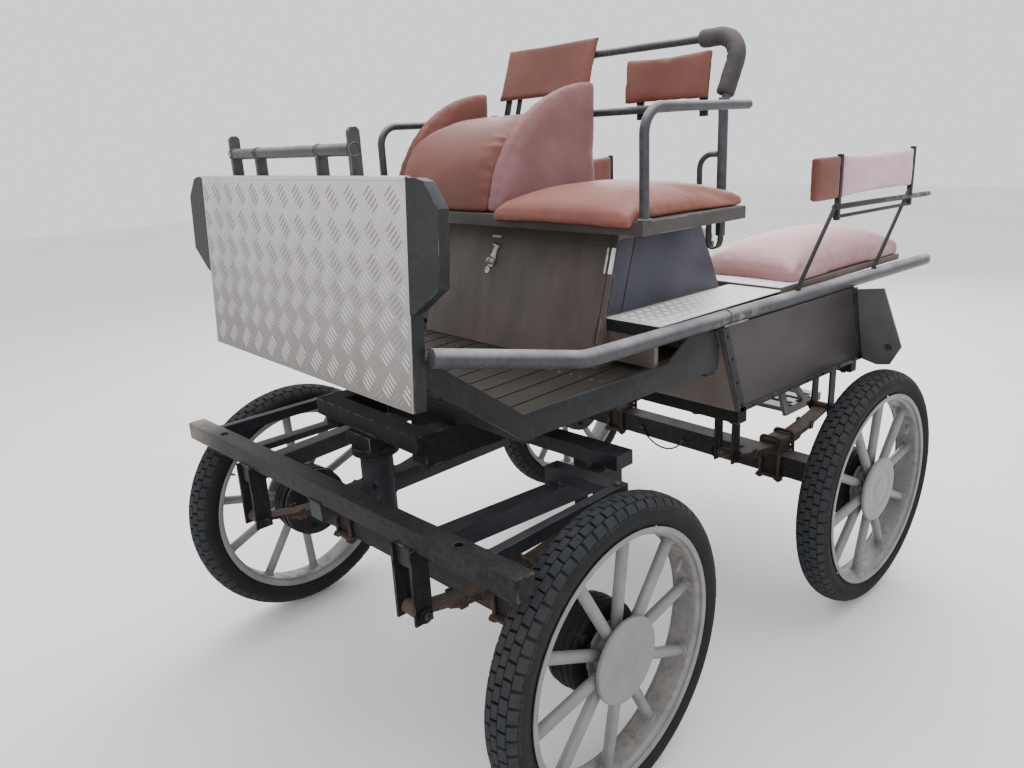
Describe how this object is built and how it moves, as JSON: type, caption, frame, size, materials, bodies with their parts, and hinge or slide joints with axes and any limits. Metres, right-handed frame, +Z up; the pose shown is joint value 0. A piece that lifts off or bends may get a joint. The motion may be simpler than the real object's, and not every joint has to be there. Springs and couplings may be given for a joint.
{
  "type": "horse-drawn carriage",
  "caption": "Light four-wheeled wagonette with a steering front bogie, tubular steel frame, plywood tub, front bench seat and side benches behind.",
  "frame": {"origin": "on the floor, under the centre of the carriage's bounding box", "axes": "+Z up, the carriage's front faces -Y, its left side is +X"},
  "size_m": [1.21, 1.8313, 1.44],
  "materials": {
    "tyre": "matte black block tread rubber, dusty",
    "silver_paint": "silver-grey paint with rust streaks",
    "drum_iron": "black painted drum, dusty",
    "black_steel": "black paint, semi-gloss, worn at the edges, patches of rust",
    "spring_steel": "rusty leaf steel",
    "tread_plate": "five-bar tread plate, satin",
    "deck_plate": "five-bar tread plate, dark and dusty",
    "film_plywood": "dark brown film-faced plywood, satin",
    "floor_wood": "brown stained boards",
    "leatherette": "reddish brown leatherette, satin",
    "foam_rubber": "black foam sleeve"
  },
  "bodies": {
    "root": {"armrests": "black_steel", "back_rail_frame": "black_steel", "backrest_posts": "black_steel", "bench_back_frames": "black_steel", "bench_backrests": "leatherette", "bench_boxes": "film_plywood", "bench_cushions": "leatherette", "brake_pedal": "black_steel", "chassis_frame": "black_steel", "dashboard_frame": "black_steel", "dashboard_sheet": "tread_plate", "deck_risers": "film_plywood", "driver_seat_cheeks": "leatherette", "driver_seat_roll": "leatherette", "footwell_frame": "black_steel", "footwell_planks": "floor_wood", "front_backrests": "leatherette", "lamp_wings": "black_steel", "passenger_cushion": "leatherette", "rail_padding": "foam_rubber", "rear_axle": "black_steel", "rear_spring_hangers": "black_steel", "rear_springs": "spring_steel", "rear_step": "black_steel", "rein_rail": "black_steel", "seat_box": "film_plywood", "seat_ledge": "black_steel", "side_decks": "deck_plate", "top_rails": "black_steel", "tub_floor": "film_plywood", "tub_sides": "film_plywood", "tub_underframe": "black_steel", "tub_walls": "film_plywood", "turntable_upper": "black_steel"},
    "front_bogie": {"splinter_bar": "black_steel", "bogie_frame": "black_steel", "front_axle": "black_steel", "front_spring_hangers": "black_steel", "front_springs": "spring_steel"},
    "wheel_fl": {"tyre_fl": "tyre", "wheel_fl": "silver_paint", "brake_drum_fl": "drum_iron"},
    "wheel_fr": {"tyre_fr": "tyre", "wheel_fr": "silver_paint", "brake_drum_fr": "drum_iron"},
    "wheel_rl": {"tyre_rl": "tyre", "wheel_rl": "silver_paint", "brake_drum_rl": "drum_iron"},
    "wheel_rr": {"tyre_rr": "tyre", "wheel_rr": "silver_paint", "brake_drum_rr": "drum_iron"},
    "box_door": {"box_door": "film_plywood"},
    "rear_door": {"rear_door": "film_plywood"}
  },
  "joints": [
    {"name": "front_bogie", "type": "hinge", "parent": "root", "child": "front_bogie", "pos_m": [0, -0.67451, 0.533], "axis": [0, 0, 1], "range_deg": [-53.2, 46.8]},
    {"name": "wheel_fl_spin", "type": "hinge", "parent": "front_bogie", "child": "wheel_fl", "pos_m": [0.54914, -0.5438, 0.31], "axis": [0.9984, 0.0558, 0], "continuous": true},
    {"name": "wheel_fr_spin", "type": "hinge", "parent": "front_bogie", "child": "wheel_fr", "pos_m": [-0.54914, -0.60521, 0.31], "axis": [0.9984, 0.0558, 0], "continuous": true},
    {"name": "wheel_rl_spin", "type": "hinge", "parent": "root", "child": "wheel_rl", "pos_m": [0.55, 0.45049, 0.31], "axis": [1, 0, 0], "continuous": true},
    {"name": "wheel_rr_spin", "type": "hinge", "parent": "root", "child": "wheel_rr", "pos_m": [-0.55, 0.45049, 0.31], "axis": [1, 0, 0], "continuous": true},
    {"name": "box_door_hinge", "type": "hinge", "parent": "root", "child": "box_door", "pos_m": [0.285, -0.26853, 0.896], "axis": [0, 0.2796, 0.9601], "range_deg": [0, 100]},
    {"name": "rear_door_hinge", "type": "hinge", "parent": "root", "child": "rear_door", "pos_m": [0.1475, 0.51006, 0.742], "axis": [0, 0.2832, -0.9591], "range_deg": [0, 88]}
  ]
}
